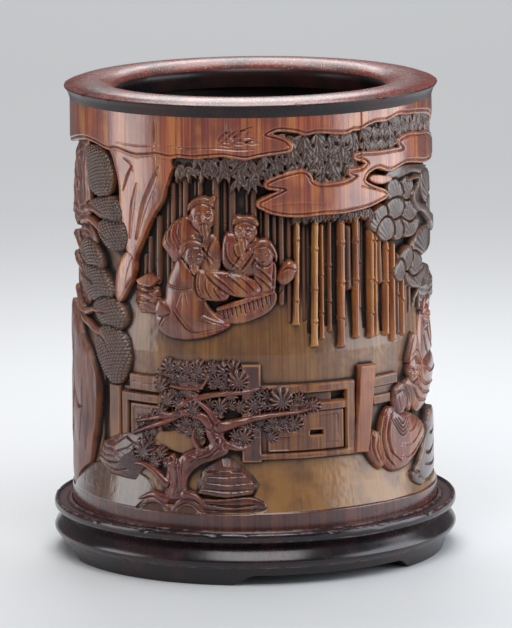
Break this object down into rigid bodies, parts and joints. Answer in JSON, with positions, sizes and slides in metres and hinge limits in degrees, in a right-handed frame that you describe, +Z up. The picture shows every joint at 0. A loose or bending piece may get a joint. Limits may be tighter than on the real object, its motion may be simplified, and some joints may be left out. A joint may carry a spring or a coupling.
{
  "type": "brush pot",
  "caption": "Round carved bamboo brush pot with a domed two-part hardwood mouth rim and a turned hardwood stand on low bracket feet.",
  "frame": {"origin": "centre of the pot's box on the surface that the feet stand on", "axes": "+Z up along the pot's axis, -Y towards the carved front"},
  "size_m": [0.135, 0.135, 0.1588],
  "materials": {
    "bamboo": "polished, aged reddish brown",
    "rim_wood": "worn satin, dark",
    "stand_wood": "satin, nearly black",
    "board_wood": "matt, dark"
  },
  "bodies": {
    "root": {"bamboo_wall": "bamboo", "rim_front_half": "rim_wood", "rim_back_half": "rim_wood", "base_plinth": "stand_wood", "floor_board": "board_wood"}
  },
  "joints": []
}
